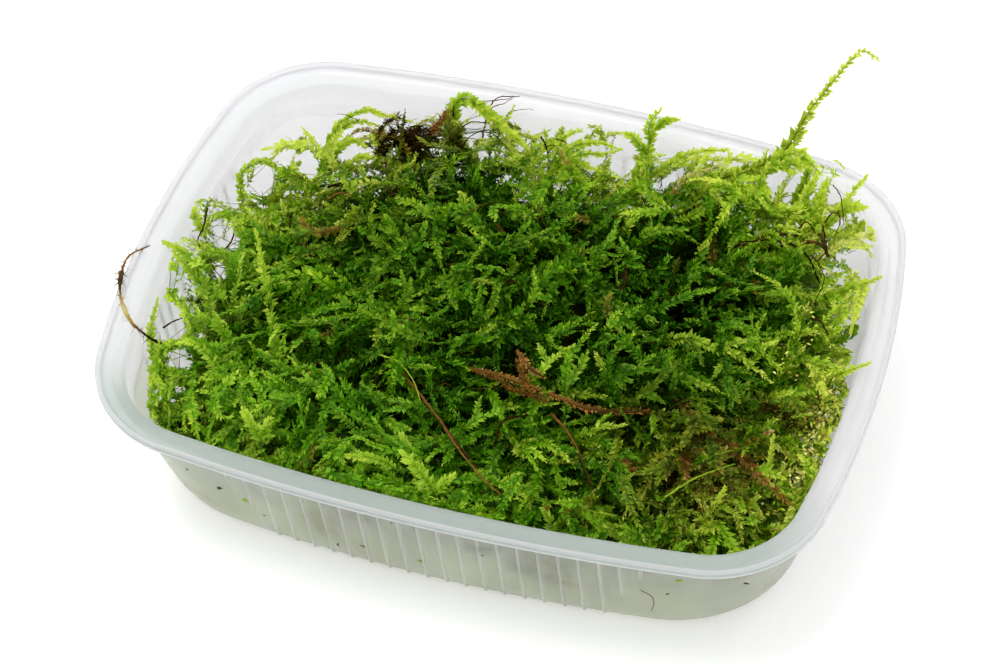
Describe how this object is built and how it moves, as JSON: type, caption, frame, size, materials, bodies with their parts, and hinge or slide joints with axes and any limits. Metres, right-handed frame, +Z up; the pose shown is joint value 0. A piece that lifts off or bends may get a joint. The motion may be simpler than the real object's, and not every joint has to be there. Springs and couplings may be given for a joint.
{
  "type": "potted bogor moss",
  "caption": "Feathery green aquatic moss filling a shallow ribbed tub of milky clear plastic, with loose pale shoots arching over its rim.",
  "frame": {"origin": "centre of the flat base, on the surface that the tub stands on", "axes": "+X along the tub's long side, -Y towards the near long side in the picture, +Z up"},
  "size_m": [0.108, 0.088, 0.0387],
  "materials": {
    "tub_plastic": "milky translucent polypropylene, satin",
    "moss_green": "dense feathery leaves, slightly wet",
    "shoot_lime": "thin translucent leaves, slightly wet",
    "stem_brown": "dull dead stem",
    "root_dark": "dark matted roots"
  },
  "bodies": {
    "root": {"tub": "tub_plastic", "moss_cushion": "moss_green", "long_shoot": "shoot_lime", "long_shoot_branch": "shoot_lime", "back_arch_shoot": "shoot_lime", "back_left_arch_shoot": "shoot_lime", "left_arch_shoot": "shoot_lime", "back_curled_shoot": "shoot_lime", "back_pale_shoot": "shoot_lime", "back_fork_shoot": "shoot_lime", "right_corner_shoot": "shoot_lime", "right_pale_shoot": "shoot_lime", "right_wall_shoot": "shoot_lime", "right_low_shoot": "shoot_lime", "left_tall_shoot": "shoot_lime", "left_edge_shoot": "shoot_lime", "left_tip_shoot": "shoot_lime", "front_left_shoot": "shoot_lime", "front_middle_shoot": "shoot_lime", "front_right_shoot": "shoot_lime", "front_pale_shoot": "shoot_lime", "brown_centre_stem": "stem_brown", "brown_side_twig": "stem_brown", "brown_diagonal_stem": "stem_brown", "brown_front_stem": "stem_brown", "dark_corner_stem": "stem_brown", "rim_root_thread": "stem_brown", "back_root_thread": "stem_brown", "back_root_tangle": "root_dark"}
  },
  "joints": []
}
